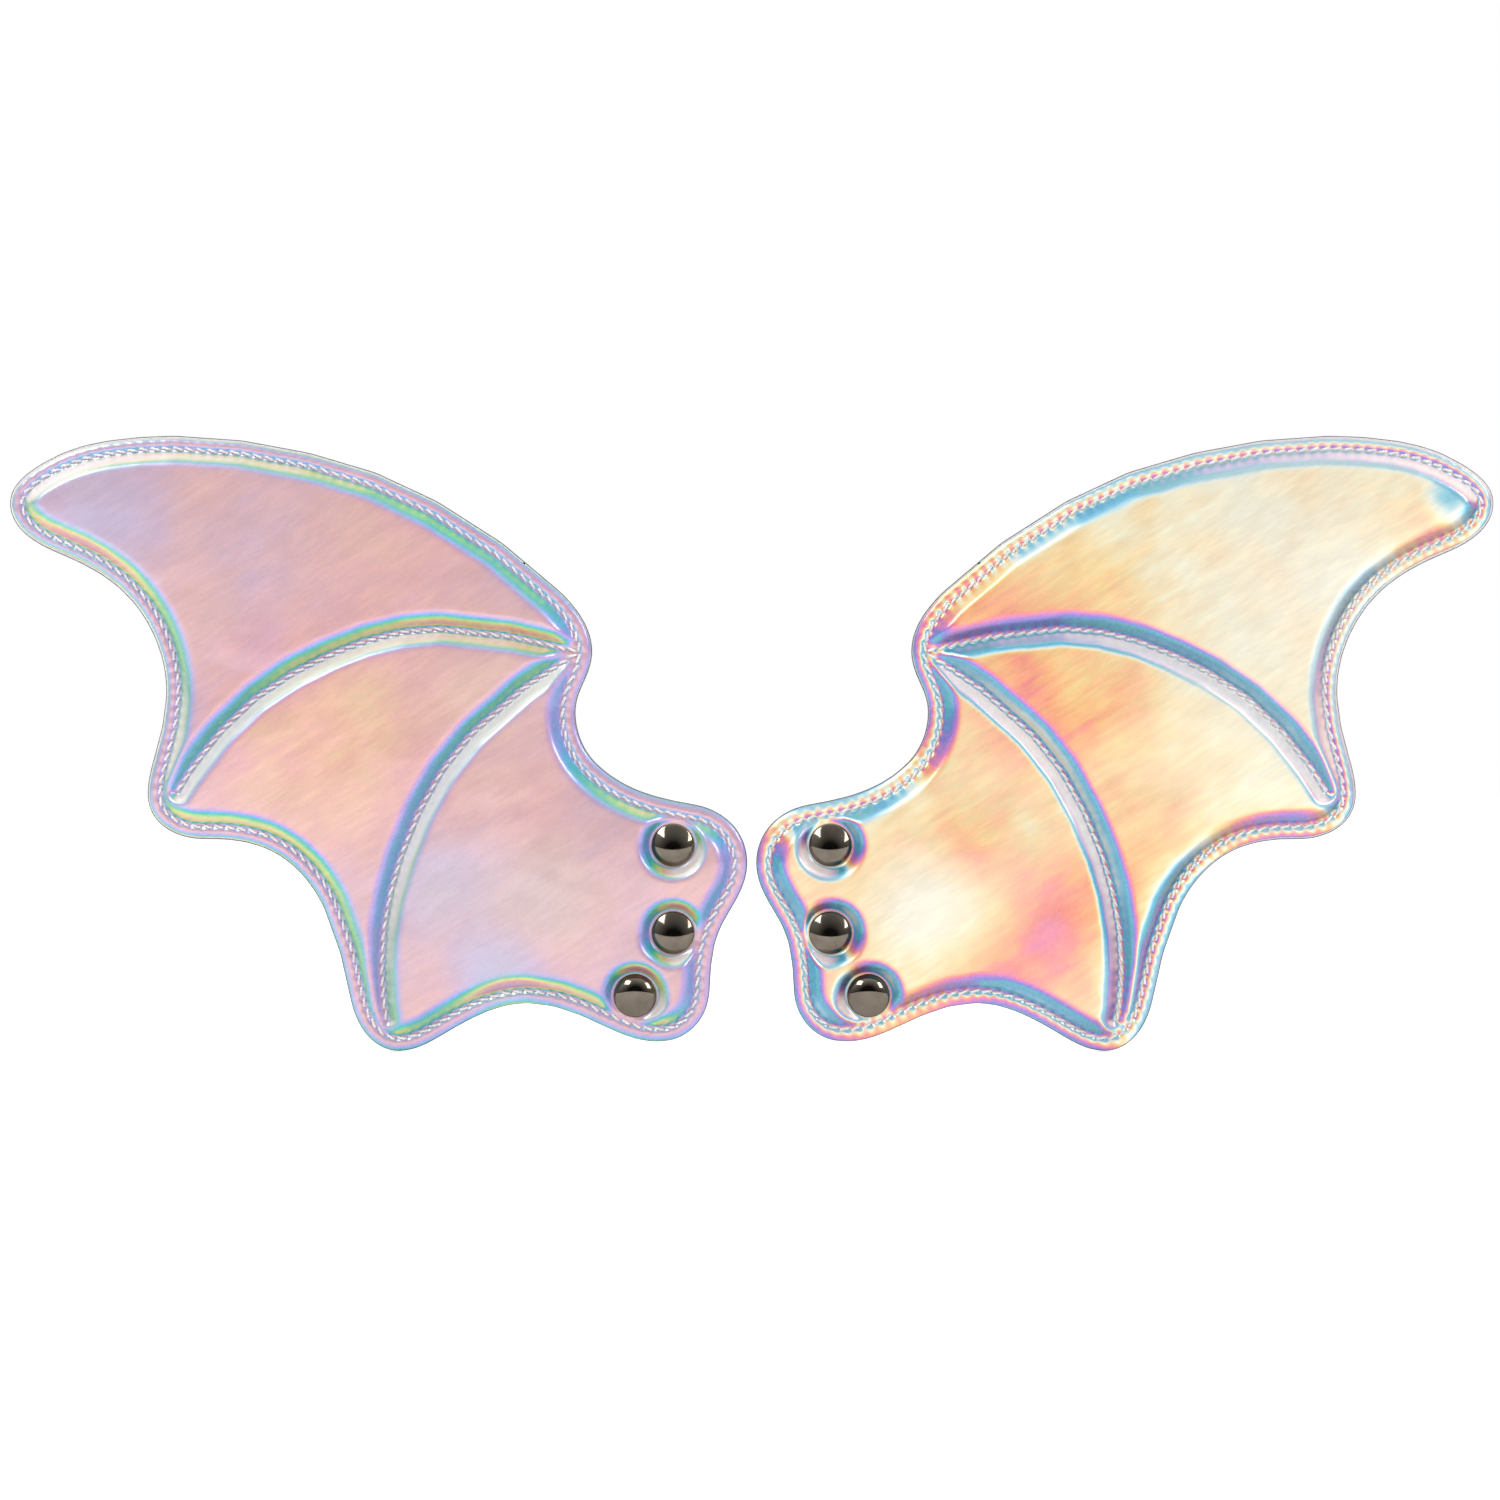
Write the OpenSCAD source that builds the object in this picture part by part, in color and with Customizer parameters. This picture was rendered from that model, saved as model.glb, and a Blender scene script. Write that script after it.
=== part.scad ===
// A pair of padded bat-shaped costume wings.
// Each wing is a sandwich of cover, foam, board and cover, sewn round its edge and along two ribs.
// Three press snaps at the root of each wing fasten it to a boot, bag or harness.
// The wings stand upright: X across the pair, Y towards the back, Z up.

/* [Wings] */
// Width of one wing, from its root edge to its tip
wing_span = 214; // [195:1:235]
// Gap between the two wings at their roots
wing_gap = 2.4; // [1:0.2:20]
// Distance from the cut edge to the line of stitches round a wing
seam_inset = 3.7; // [3.2:0.1:4.2]

/* [Padding] */
// Height of the puffed cells above the sewn border
puff_h = 4; // [2:0.1:6]
// Width of the slope from a line of stitches up to the flat of a cell
puff_slope = 3; // [1.5:0.1:3.5]
// Thickness of the front cover and of the back cover
cover_t = 0.8; // [0.5:0.1:1]
// Thickness of the foam where the stitches squeeze it flat
foam_web_t = 0.5; // [0.3:0.1:1]
// Thickness of the stiffener board
board_t = 1; // [0.6:0.1:1.4]

/* [Stitching] */
// Width of a line of thread
thread_w = 0.7; // [0.4:0.1:0.8]
// How far a line of thread stands out of the cover
thread_h = 0.3; // [0.1:0.05:0.4]

/* [Snaps] */
// Diameter of a snap's cap
cap_d = 12.5; // [11:0.5:13]
// Height of a snap's cap above the cover
cap_h = 2.3; // [2:0.1:3]
// Diameter of the hollow pressed into the padding round a cap
hollow_d = 17.6; // [17:0.2:19]
// Diameter of a snap's socket
socket_d = 11.2; // [11:0.1:12]
// Height of a snap's socket behind the back cover
socket_h = 3.4; // [3.4:0.1:4]
// Diameter of the socket's mouth, which takes the head of the stud
mouth_d = 6.2; // [5.8:0.1:6.4]

/* [Hidden] */
$fn = 48;

// A wing is drawn flat, with x out from its root edge, y up and z towards its front.
// Each station of a curve is [x, y, heading in degrees], and the curve runs smoothly through it.
drawn_span = 214;
size = wing_span / drawn_span;

// The outline, anticlockwise from the root edge
outline_stations = [
    // root edge, past the snaps, to the foot of the wing
    [0, -35, 270], [5, -48.5, 302], [9.5, -58, 284], [11, -72, 272], [23, -86.5, 350],
    // first scallop, to the lower fingertip
    [41, -82.5, 26], [64, -75.5, 0], [85.5, -83, 330], [101, -89.5, 0],
    // second scallop, to the middle fingertip
    [115, -75, 78], [123, -47.5, 64], [140, -30.5, 22], [157, -28, 358], [174, -16, 86],
    // third scallop, to the tip of the wing
    [172, -4, 106], [168.5, 14, 91], [177.5, 40, 52], [200, 55, 22], [214, 69.5, 90],
    // leading edge, down to the wrist
    [204.5, 81, 148], [186, 87.5, 171], [166, 89, 180], [127, 84, 193], [90, 70, 210],
    [54, 43.5, 225], [45, 27, 268],
    // throat, back to the root
    [48, 16.5, 296], [50, 9, 270], [44, -6, 225], [27, -15.5, 196], [15, -18, 190], [5, -23, 224],
];

// The two ribs fan out from the wrist to the two fingertips
upper_rib_stations = [[49, 26.5, 13], [89, 33, 1], [131, 20.5, -28], [168.5, -19.5, -61]];
lower_rib_stations = [
    [49, 26.5, -31], [80, 2.5, -46], [100.5, -33, -71], [106, -65.5, -90], [103, -87, -106],
];

// Centres of the snaps
snap_top = [21.6, -29.7] * size;
snap_middle = [21.6, -55.1] * size;
snap_bottom = [32.6, -73.3] * size;
snap_places = [snap_top, snap_middle, snap_bottom];

// Largest turn of a curve between two of its points
point_turn = 9;
// How far a rib's valley runs on past the ends of the rib
rib_overrun = 6;
// Half width of the flat valley that the stitches lie in
valley = 0.6;
// The padding rises in this many equal terraces
terraces = 2;

// Levels through a wing, from the plane between the back cover's border and the foam
back_face = -board_t - cover_t;
sewn_face = foam_web_t + cover_t;
front_face = sewn_face + puff_h;

// Snap dimensions
barrel_r = 1.8;
barrel_wall = 0.45;
barrel_play = 0.05;
cap_wall = 0.45;
cap_rim_r = 0.5;
flare_r = 2.7;
flare_t = 0.35;
socket_floor_t = 0.5;
socket_flange_t = 0.7;
socket_neck_r = socket_d / 2 - 1;
groove_depth = 1;
groove_floor = 1.7;
groove_w = 0.8;
spring_wire_r = 0.35;
spring_r = mouth_d / 2 + 0.4;
spring_split = 30;

function toward(heading) = [cos(heading), sin(heading)];
function turn_between(a, b) = let (d = b[2] - a[2]) d - 360 * round(d / 360);

// Points of a cubic curve from station a up to station b, each with its heading
function span(a, b) =
    let (
        turn = turn_between(a, b),
        start = [a.x, a.y],
        end = [b.x, b.y],
        reach = norm(end - start) / (3 * pow(cos(turn / 4), 2)),
        leaving = start + reach * toward(a[2]),
        arriving = end - reach * toward(b[2]),
        steps = max(2, ceil(abs(turn) / point_turn))
    )
    [
        for (i = [0 : steps - 1])
            let (
                t = i / steps,
                u = 1 - t,
                place = u * u * u * start + 3 * u * u * t * leaving
                    + 3 * u * t * t * arriving + t * t * t * end,
                slope = u * u * (leaving - start) + 2 * u * t * (arriving - leaving)
                    + t * t * (end - arriving)
            )
            [place.x * size, place.y * size, atan2(slope.y, slope.x)]
    ];

function closed_curve(stations) =
    let (n = len(stations))
    [for (i = [0 : n - 1]) each span(stations[i], stations[(i + 1) % n])];

function open_curve(stations) =
    let (last = stations[len(stations) - 1])
    [
        for (i = [0 : len(stations) - 2]) each span(stations[i], stations[i + 1]),
        [last.x * size, last.y * size, last[2]]
    ];

// The curve moved sideways, to the left of its heading
function beside(points, distance) =
    [for (p = points) [p.x, p.y] + distance * toward(p[2] + 90)];

function reversed(list) = [for (i = [len(list) - 1 : -1 : 0]) list[i]];
function ahead(p, distance) = [each [p.x, p.y] + distance * toward(p[2]), p[2]];

outline = closed_curve(outline_stations);
upper_rib = open_curve(upper_rib_stations);
lower_rib = open_curve(lower_rib_stations);

outline_heights = [for (p = outline) p.y];
height_middle = (max(outline_heights) + min(outline_heights)) / 2;
depth_middle = (front_face + back_face - socket_h) / 2;

// Flat shapes

// The outline of the wing, moved in from its cut edge
module wing_area(inset) {
    polygon(beside(outline, inset));
}

// A band along a rib, to a distance either side of it and past its ends
module rib_band(rib, half_width, overrun) {
    last = len(rib) - 1;
    run = concat([ahead(rib[0], -overrun)], rib, [ahead(rib[last], overrun)]);
    polygon(concat(beside(run, half_width), reversed(beside(run, -half_width))));
}

// The padded cells, up to a gap from every line of stitches and from the snaps' hollows
module cell_area(gap) {
    difference() {
        wing_area(seam_inset + gap);
        rib_band(upper_rib, gap, rib_overrun);
        rib_band(lower_rib, gap, rib_overrun);
        for (place = snap_places)
            translate(place)
                circle(hollow_d / 2 + gap - valley);
    }
}

// Solids

module slab(bottom, top) {
    translate([0, 0, bottom])
        linear_extrude(top - bottom)
            children();
}

// The cells as terraces that rise from a base level, set in from the seams
module padding(set_in, base) {
    for (step = [1 : terraces])
        slab(0, base + puff_h * step / terraces)
            cell_area(valley + puff_slope * (step - 1) + set_in);
}

module barrel_holes() {
    for (place = snap_places)
        translate(place)
            cylinder(r = barrel_r + barrel_play, h = 3 * (front_face - back_face), center = true);
}

module front_cover() {
    color("thistle")
        difference() {
            union() {
                slab(foam_web_t, sewn_face) wing_area(0);
                padding(0, sewn_face);
            }
            slab(-1, foam_web_t) wing_area(-1);
            padding(cover_t, foam_web_t);
            barrel_holes();
        }
}

module foam_pad() {
    color("white")
        difference() {
            union() {
                slab(0, foam_web_t) wing_area(0);
                padding(cover_t, foam_web_t);
            }
            barrel_holes();
        }
}

module stiffener() {
    color("dimgray")
        difference() {
            slab(-board_t, 0) wing_area(seam_inset + valley + cover_t);
            barrel_holes();
        }
}

module back_cover() {
    color("plum")
        difference() {
            union() {
                slab(-cover_t, 0) wing_area(0);
                slab(back_face, 0) wing_area(seam_inset + valley);
            }
            slab(-board_t, 1) wing_area(seam_inset + valley + cover_t);
            barrel_holes();
        }
}

// Thread on both faces of the wing; the border's back face lies in front of the board's
module thread_on_faces(back) {
    slab(sewn_face, sewn_face + thread_h) children();
    slab(back - thread_h, back) children();
}

module edge_stitching() {
    color("silver")
        thread_on_faces(-cover_t)
            difference() {
                wing_area(seam_inset - thread_w / 2);
                wing_area(seam_inset + thread_w / 2);
            }
}

module rib_thread_area(rib) {
    intersection() {
        rib_band(rib, thread_w / 2, rib_overrun);
        wing_area(seam_inset + valley);
    }
}

module upper_rib_stitching() {
    color("silver")
        thread_on_faces(back_face)
            rib_thread_area(upper_rib);
}

// The lower rib's thread starts where it parts from the upper rib's
module lower_rib_stitching() {
    color("silver")
        thread_on_faces(back_face)
            difference() {
                rib_thread_area(lower_rib);
                rib_band(upper_rib, thread_w, rib_overrun);
            }
}

// A hollow domed cap, whose barrel goes through the wing and flares out inside the socket
module snap_cap(place) {
    barrel_end = back_face - sewn_face - socket_floor_t;
    bore_r = barrel_r - barrel_wall;
    cap_r = cap_d / 2;
    dome_rise = cap_h - cap_rim_r;
    dome_r = (cap_r * cap_r + dome_rise * dome_rise) / (2 * dome_rise);
    dome_turn = asin(cap_r / dome_r);
    dome_centre = cap_h - dome_r;
    inner_r = cap_r - 2 * cap_wall;
    inner_dome_r = dome_r - cap_wall;
    inner_turn = asin(inner_r / inner_dome_r);
    color("slategray")
        translate([place.x, place.y, sewn_face])
            rotate_extrude()
                polygon([
                    [flare_r, barrel_end - flare_t],
                    [bore_r, barrel_end - flare_t],
                    [bore_r, cap_wall],
                    [inner_r, cap_wall],
                    for (a = [inner_turn : -inner_turn / 6 : 0.1])
                        [inner_dome_r * sin(a), dome_centre + inner_dome_r * cos(a)],
                    [0, cap_h - cap_wall],
                    [0, cap_h],
                    for (a = [dome_turn / 6 : dome_turn / 6 : dome_turn + 0.1])
                        [dome_r * sin(a), dome_centre + dome_r * cos(a)],
                    for (a = [-15 : -15 : -90])
                        [cap_r - cap_rim_r + cap_rim_r * cos(a), cap_rim_r + cap_rim_r * sin(a)],
                    [barrel_r, 0],
                    [barrel_r, barrel_end],
                    [flare_r, barrel_end],
                ]);
}

// Turns a snap part so that its height runs out of the back of the wing
module behind(place) {
    translate([place.x, place.y, back_face])
        rotate([180, 0, 0])
            children();
}

// A cup with a flange against the back cover, a groove for the spring and an open mouth
module snap_socket(place) {
    socket_r = socket_d / 2;
    mouth_r = mouth_d / 2;
    hole_r = barrel_r + barrel_play;
    seat_r = flare_r + barrel_play;
    seat_top = socket_floor_t + flare_t;
    groove_top = groove_floor + groove_w;
    color("gray")
        behind(place)
            rotate_extrude()
                polygon([
                    [hole_r, 0],
                    [socket_r, 0],
                    [socket_r, socket_flange_t],
                    [socket_neck_r, socket_flange_t + 0.5],
                    [socket_neck_r, socket_h - 0.5],
                    [socket_neck_r - 0.5, socket_h],
                    [mouth_r, socket_h],
                    [mouth_r, groove_top],
                    [mouth_r + groove_depth, groove_top],
                    [mouth_r + groove_depth, groove_floor],
                    [mouth_r, groove_floor],
                    [mouth_r, seat_top],
                    [seat_r, seat_top],
                    [seat_r, socket_floor_t],
                    [hole_r, socket_floor_t],
                ]);
}

// A split ring of wire, which grips the neck of the stud
module snap_spring(place) {
    color("darkgoldenrod")
        behind(place)
            translate([0, 0, groove_floor + groove_w / 2])
                rotate([0, 0, spring_split / 2])
                    rotate_extrude(angle = 360 - spring_split)
                        translate([spring_r, 0])
                            circle(spring_wire_r);
}

module right() {
    translate([wing_gap / 2, depth_middle, -height_middle])
        rotate([90, 0, 0])
            children();
}

module left() {
    mirror([1, 0, 0])
        right()
            children();
}

left() front_cover();  // left_front_cover
left() back_cover();  // left_back_cover
left() foam_pad();  // left_foam_pad
left() stiffener();  // left_stiffener
left() edge_stitching();  // left_edge_stitching
left() upper_rib_stitching();  // left_upper_rib_stitching
left() lower_rib_stitching();  // left_lower_rib_stitching
left() snap_cap(snap_top);  // left_snap_cap_top
left() snap_cap(snap_middle);  // left_snap_cap_middle
left() snap_cap(snap_bottom);  // left_snap_cap_bottom
left() snap_socket(snap_top);  // left_snap_socket_top
left() snap_socket(snap_middle);  // left_snap_socket_middle
left() snap_socket(snap_bottom);  // left_snap_socket_bottom
left() snap_spring(snap_top);  // left_snap_spring_top
left() snap_spring(snap_middle);  // left_snap_spring_middle
left() snap_spring(snap_bottom);  // left_snap_spring_bottom
right() front_cover();  // right_front_cover
right() back_cover();  // right_back_cover
right() foam_pad();  // right_foam_pad
right() stiffener();  // right_stiffener
right() edge_stitching();  // right_edge_stitching
right() upper_rib_stitching();  // right_upper_rib_stitching
right() lower_rib_stitching();  // right_lower_rib_stitching
right() snap_cap(snap_top);  // right_snap_cap_top
right() snap_cap(snap_middle);  // right_snap_cap_middle
right() snap_cap(snap_bottom);  // right_snap_cap_bottom
right() snap_socket(snap_top);  // right_snap_socket_top
right() snap_socket(snap_middle);  // right_snap_socket_middle
right() snap_socket(snap_bottom);  // right_snap_socket_bottom
right() snap_spring(snap_top);  // right_snap_spring_top
right() snap_spring(snap_middle);  // right_snap_spring_middle
right() snap_spring(snap_bottom);  // right_snap_spring_bottom
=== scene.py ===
"""The pair of wings in pearl film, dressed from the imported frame.

Both wings share one plan, read from the right wing's CAD nodes: u runs out from the middle of the pair, v
runs up and h runs towards the viewer, all in millimetres. A wing's point (u, v, h) is (side * u, -h, v) in the
frame, where side is 1 for the right wing and -1 for the left.
"""
import math

import bmesh
import bpy
import numpy as np
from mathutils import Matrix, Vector, noise
from mathutils.geometry import delaunay_2d_cdt
from mathutils.kdtree import KDTree


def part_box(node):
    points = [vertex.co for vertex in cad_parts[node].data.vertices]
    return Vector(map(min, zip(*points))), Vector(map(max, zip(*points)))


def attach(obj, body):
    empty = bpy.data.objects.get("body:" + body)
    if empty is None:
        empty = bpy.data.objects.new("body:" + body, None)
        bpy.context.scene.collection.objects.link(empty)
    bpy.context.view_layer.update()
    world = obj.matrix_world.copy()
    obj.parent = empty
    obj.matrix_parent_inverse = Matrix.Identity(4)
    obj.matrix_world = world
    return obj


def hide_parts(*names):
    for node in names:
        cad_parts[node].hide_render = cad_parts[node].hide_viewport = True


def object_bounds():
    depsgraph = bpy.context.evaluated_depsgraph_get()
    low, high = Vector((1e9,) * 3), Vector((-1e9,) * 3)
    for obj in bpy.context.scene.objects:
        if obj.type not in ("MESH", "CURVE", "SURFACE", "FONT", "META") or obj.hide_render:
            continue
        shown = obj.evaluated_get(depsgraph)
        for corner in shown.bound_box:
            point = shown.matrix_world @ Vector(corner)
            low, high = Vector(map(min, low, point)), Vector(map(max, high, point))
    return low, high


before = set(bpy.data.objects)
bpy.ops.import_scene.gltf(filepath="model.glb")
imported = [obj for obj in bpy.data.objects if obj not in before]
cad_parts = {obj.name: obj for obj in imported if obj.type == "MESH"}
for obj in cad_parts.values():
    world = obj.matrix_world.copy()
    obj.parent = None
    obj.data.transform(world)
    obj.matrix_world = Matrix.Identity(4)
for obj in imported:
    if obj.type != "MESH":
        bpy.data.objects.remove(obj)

cad_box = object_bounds()

MM = 0.001
SIDES = {"right": 1, "left": -1}
SNAPS = ("top", "middle", "bottom")
CAP_NODS = {"top": -0.15, "middle": -0.13, "bottom": 0.12}  # how the padding tips each cap's face
RIBS = ("upper", "lower")

# Thicknesses of the sandwich
COVER = 0.8  # either cover
WEB = 0.5  # the padding where it is squeezed flat
BOARD = 1.0  # the stiffener

# The padding's shape
PUFF = 3.2  # how far a cell stands up from the seams
CROWN = 0.9  # how much more its middle stands up
SEAM_HALF = 0.75  # half the width of the level strip under the stitches
SHOULDER = 6.0  # from a seam to where the cell is level
SEAT = 6.7  # radius of the level place under a cap
HOLLOW = 5.2  # width of the slope round that place
BORDER_PUFF = 0.42  # the swelling between the seam and the cut edge
BACK_PUFF = 0.65  # how far the back cover swells between seams
FRONT_TRIM = 0.55  # how far the front cover's cut edge lies inside the back cover's

# The stitches
PITCH = 3.3
THREAD = 0.47  # radius of the thread
STITCH_LENGTH = 2.48
STITCH_SLANT = 0.36  # how far each end of a stitch lies beside the seam
STITCH_RISE = 0.82  # from the ends of a stitch up to its middle
STITCH_SINK = 0.45  # how deep its ends lie in the needle holes

# The snaps
DOME_RADIUS = 10.6  # of the caps
BARREL = 1.8  # radius of the cap's barrel
BARREL_BORE = 1.35
FLARE = 2.7  # radius of the barrel's flared end
MOUTH = 3.1  # radius of the socket's mouth


# ----------------------------------------------------------------------------------------------------
# The plan, read from the right wing's CAD nodes
# ----------------------------------------------------------------------------------------------------


def level(node, end):
    """How far the node's front (end 0) or back (end 1) lies towards the viewer, in millimetres."""
    return -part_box(node)[end].y / MM


def flat_loops(node, end):
    """The closed outlines (u, v) of the node's flat front (end 0) or back (end 1), longest first."""
    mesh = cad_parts[node].data
    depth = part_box(node)[end].y
    edges = set()
    for face in mesh.polygons:
        corners = [mesh.vertices[i].co for i in face.vertices]
        if all(abs(c.y - depth) < 1e-6 for c in corners):
            keys = [(round(c.x / MM, 3), round(c.z / MM, 3)) for c in corners]
            for a, b in zip(keys, keys[1:] + keys[:1]):
                if (b, a) in edges:
                    edges.remove((b, a))
                else:
                    edges.add((a, b))
    onward = dict(edges)
    loops = []
    while onward:
        start, here = onward.popitem()
        loop = [start]
        while here != start:
            loop.append(here)
            here = onward.pop(here)
        loops.append(np.array(loop))
    return sorted(loops, key=lambda loop: -closed_length(loop))


def closed_length(loop):
    """The length once round a closed loop of points."""
    return np.linalg.norm(np.roll(loop, -1, axis=0) - loop, axis=1).sum()


def evenly(points, closed, step):
    """The same path with its points evenly apart, about step from each other."""
    path = np.vstack([points, points[:1]]) if closed else points
    run = np.concatenate([[0], np.cumsum(np.linalg.norm(np.diff(path, axis=0), axis=1))])
    count = max(2, round(run[-1] / step))
    places = np.linspace(0, run[-1], count + 1)[: count if closed else count + 1]
    return np.column_stack([np.interp(places, run, path[:, axis]) for axis in range(path.shape[1])])


def rounded(points, closed, passes):
    """The path with its small corners worn off. An open path keeps its two ends."""
    for _ in range(passes):
        average = (np.roll(points, 1, axis=0) + 2 * points + np.roll(points, -1, axis=0)) / 4
        if not closed:
            average[[0, -1]] = points[[0, -1]]
        points = average
    return points


def counter_clockwise(loop):
    """The same loop, turned round if it runs clockwise."""
    u, v = loop.T
    area = (u * np.roll(v, -1) - v * np.roll(u, -1)).sum()
    return loop if area > 0 else loop[::-1]


def middle_of_band(loop):
    """The centre-line of a long narrow closed band."""
    apart = np.linalg.norm(loop[:, None] - loop[None, :], axis=2)
    first, last = sorted(np.unravel_index(apart.argmax(), apart.shape))
    one_side = loop[first : last + 1]
    other_side = np.vstack([loop[last:], loop[: first + 1]])[::-1]
    count = 240
    halves = []
    for half in (one_side, other_side):
        halves.append(evenly(half, False, closed_length(half) / 2 / count)[: count + 1])
    shortest = min(len(half) for half in halves)
    return (halves[0][:shortest] + halves[1][:shortest]) / 2


class Path:
    """A seam or an edge in the plan, which tells how far points lie from it and how far along."""

    def __init__(self, points, closed):
        self.points = points
        self.closed = closed
        self.count = len(points)
        self.ahead = np.roll(points, -1, axis=0) - points
        if not closed:
            self.ahead[-1] = self.ahead[-2]
        self.step = np.linalg.norm(self.ahead, axis=1).mean()
        self.length = self.step * (self.count if closed else self.count - 1)
        self.tree = KDTree(self.count)
        for index, (u, v) in enumerate(points):
            self.tree.insert((u, v, 0), index)
        self.tree.balance()

    def measure(self, places):
        """For each place: its distance, positive to the left of the path, and how far along the path it is."""
        nearest = np.array([self.tree.find((u, v, 0))[1] for u, v in places])
        best = np.full(len(places), 1e9)
        away = np.zeros(len(places))
        along = np.zeros(len(places))
        for shift in (-1, 0):
            start = nearest + shift
            start = start % self.count if self.closed else np.clip(start, 0, self.count - 2)
            ahead = self.ahead[start]
            offset = places - self.points[start]
            share = np.clip((offset * ahead).sum(axis=1) / (ahead**2).sum(axis=1), 0, 1)
            gap = offset - ahead * share[:, None]
            distance = np.linalg.norm(gap, axis=1)
            left = np.sign(ahead[:, 0] * offset[:, 1] - ahead[:, 1] * offset[:, 0])
            closer = distance < best
            best = np.where(closer, distance, best)
            away = np.where(closer, distance * np.where(left == 0, 1, left), away)
            along = np.where(closer, (start + share) * self.step, along)
        return away, along

    def at(self, run):
        """The place and the direction that far along the path."""
        index = run / self.step
        low = int(index)
        share = index - low
        low = low % self.count if self.closed else min(low, self.count - 2)
        place = self.points[low] + self.ahead[low] * (share if low < self.count else 1)
        return place, self.ahead[low] / np.linalg.norm(self.ahead[low])


def inset(loop, distance):
    """A counter-clockwise loop moved inwards by that distance, which may vary from point to point."""
    ahead = np.roll(loop, -1, axis=0) - np.roll(loop, 1, axis=0)
    ahead /= np.linalg.norm(ahead, axis=1)[:, None]
    inwards = np.column_stack([-ahead[:, 1], ahead[:, 0]])
    return loop + inwards * np.broadcast_to(distance, len(loop))[:, None]


MIDDLE = level("right_foam_pad", 1)  # where the padding and the board meet
SEAM_TOP = MIDDLE + WEB + COVER
SEAM_BACK = MIDDLE - COVER
BOARD_BACK = MIDDLE - BOARD - COVER

outline = counter_clockwise(flat_loops("right_foam_pad", 1)[0])
outline = rounded(evenly(outline, True, 0.7), True, 6)
band_low, band_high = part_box("right_edge_stitching")
pad_low, pad_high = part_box("right_foam_pad")
SEAM_INSET = ((band_low.x - pad_low.x) + (pad_high.x - band_high.x)) / 2 / MM + 0.35

edge = Path(evenly(outline, True, 0.35), True)
edge_seam = Path(evenly(rounded(inset(evenly(outline, True, 0.35), SEAM_INSET), True, 4), True, 0.35), True)
rib_seams = {}
for rib in RIBS:
    rib_line = middle_of_band(flat_loops(f"right_{rib}_rib_stitching", 0)[0])
    rib_seams[rib] = Path(evenly(rounded(rib_line, False, 8), False, 0.35), False)
snap_places = {}
for snap in SNAPS:
    low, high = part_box(f"right_snap_cap_{snap}")
    snap_places[snap] = np.array([(low.x + high.x) / 2, (low.z + high.z) / 2]) / MM


def hex_lattice(step, low, high):
    """Points of a triangular lattice that covers the rectangle from low to high."""
    rise = step * math.sqrt(3) / 2
    rows = np.arange(low[1], high[1] + rise, rise)
    columns = np.arange(low[0], high[0] + step, step)
    u, v = np.meshgrid(columns, rows)
    u = u + (np.arange(len(rows)) % 2 * step / 2)[:, None]
    return np.column_stack([u.ravel(), v.ravel()])


def feature_distance(places):
    """How far each place is from the nearest seam or rim of a cap's seat."""
    distances = [abs(edge_seam.measure(places)[0])]
    distances += [abs(seam.measure(places)[0]) for seam in rib_seams.values()]
    distances += [abs(np.linalg.norm(places - place, axis=1) - SEAT) for place in snap_places.values()]
    return np.min(distances, axis=0)


def lattice(boundary, grades, margin):
    """Points inside the boundary. Each grade is a spacing and the furthest from a seam that it is used."""
    low, high = outline.min(axis=0), outline.max(axis=0)
    chosen = []
    nearest = 0.0
    for step, furthest in grades:
        places = hex_lattice(step, low, high)
        places = places[boundary.measure(places)[0] > margin]
        distance = feature_distance(places)
        chosen.append(places[(distance >= nearest) & (distance < furthest)])
        nearest = furthest
    return np.vstack(chosen)


def triangulated(boundary_loop, *groups):
    """(points, triangles) that fill a counter-clockwise loop and use every point of the groups."""
    points = np.vstack([boundary_loop, *groups])
    count = len(boundary_loop)
    rim = [(i, (i + 1) % count) for i in range(count)]
    made = delaunay_2d_cdt([Vector(p) for p in points], rim, [], 0, 1e-4, False)
    places = np.array([tuple(p) for p in made[0]])
    triangles = np.array([tuple(face) for face in made[2]])
    inside = Path(boundary_loop, True).measure(places[triangles].mean(axis=1))[0] > 0
    return places, [tuple(face) for face in triangles[inside]]


def clear_of(places, others, gap):
    """The places that lie further than the gap from all the others."""
    tree = KDTree(len(others))
    for index, (u, v) in enumerate(others):
        tree.insert((u, v, 0), index)
    tree.balance()
    return places[[tree.find((u, v, 0))[2] > gap for u, v in places]]


seam_lines = np.vstack([evenly(s.points, s.closed, PITCH / 6) for s in (edge_seam, *rib_seams.values())])


def fine_plan(boundary_loop):
    """The visible skin's plan: fine at the seams, with two loops of points for the rounded cut edge."""
    boundary = Path(boundary_loop, True)
    inner = clear_of(lattice(boundary, ((0.5, 1.9), (0.85, 6.5), (1.8, 99)), 0.75), seam_lines, 0.28)
    rolled = (inset(boundary_loop, 0.12), inset(boundary_loop, 0.38))
    return triangulated(boundary_loop, *rolled, seam_lines, inner)


def coarse_plan(boundary_loop):
    """The plan of a skin that stays out of sight."""
    return triangulated(boundary_loop, lattice(Path(boundary_loop, True), ((2.0, 6.0), (3.6, 99)), 1.2))


# The front cover is trimmed less on the sides that face down and in
bearing = np.arctan2(*(outline - outline.mean(axis=0)).T[::-1])
front_loop = evenly(inset(outline, FRONT_TRIM * (1 + 0.5 * np.cos(bearing - 0.9))), True, 0.7)
foam_loop = evenly(inset(outline, 0.3), True, 0.7)

plans = {
    "front": (fine_plan(front_loop), coarse_plan(front_loop)),
    "back": (fine_plan(outline), coarse_plan(outline)),
    "foam": (coarse_plan(foam_loop), coarse_plan(foam_loop)),
}


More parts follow.
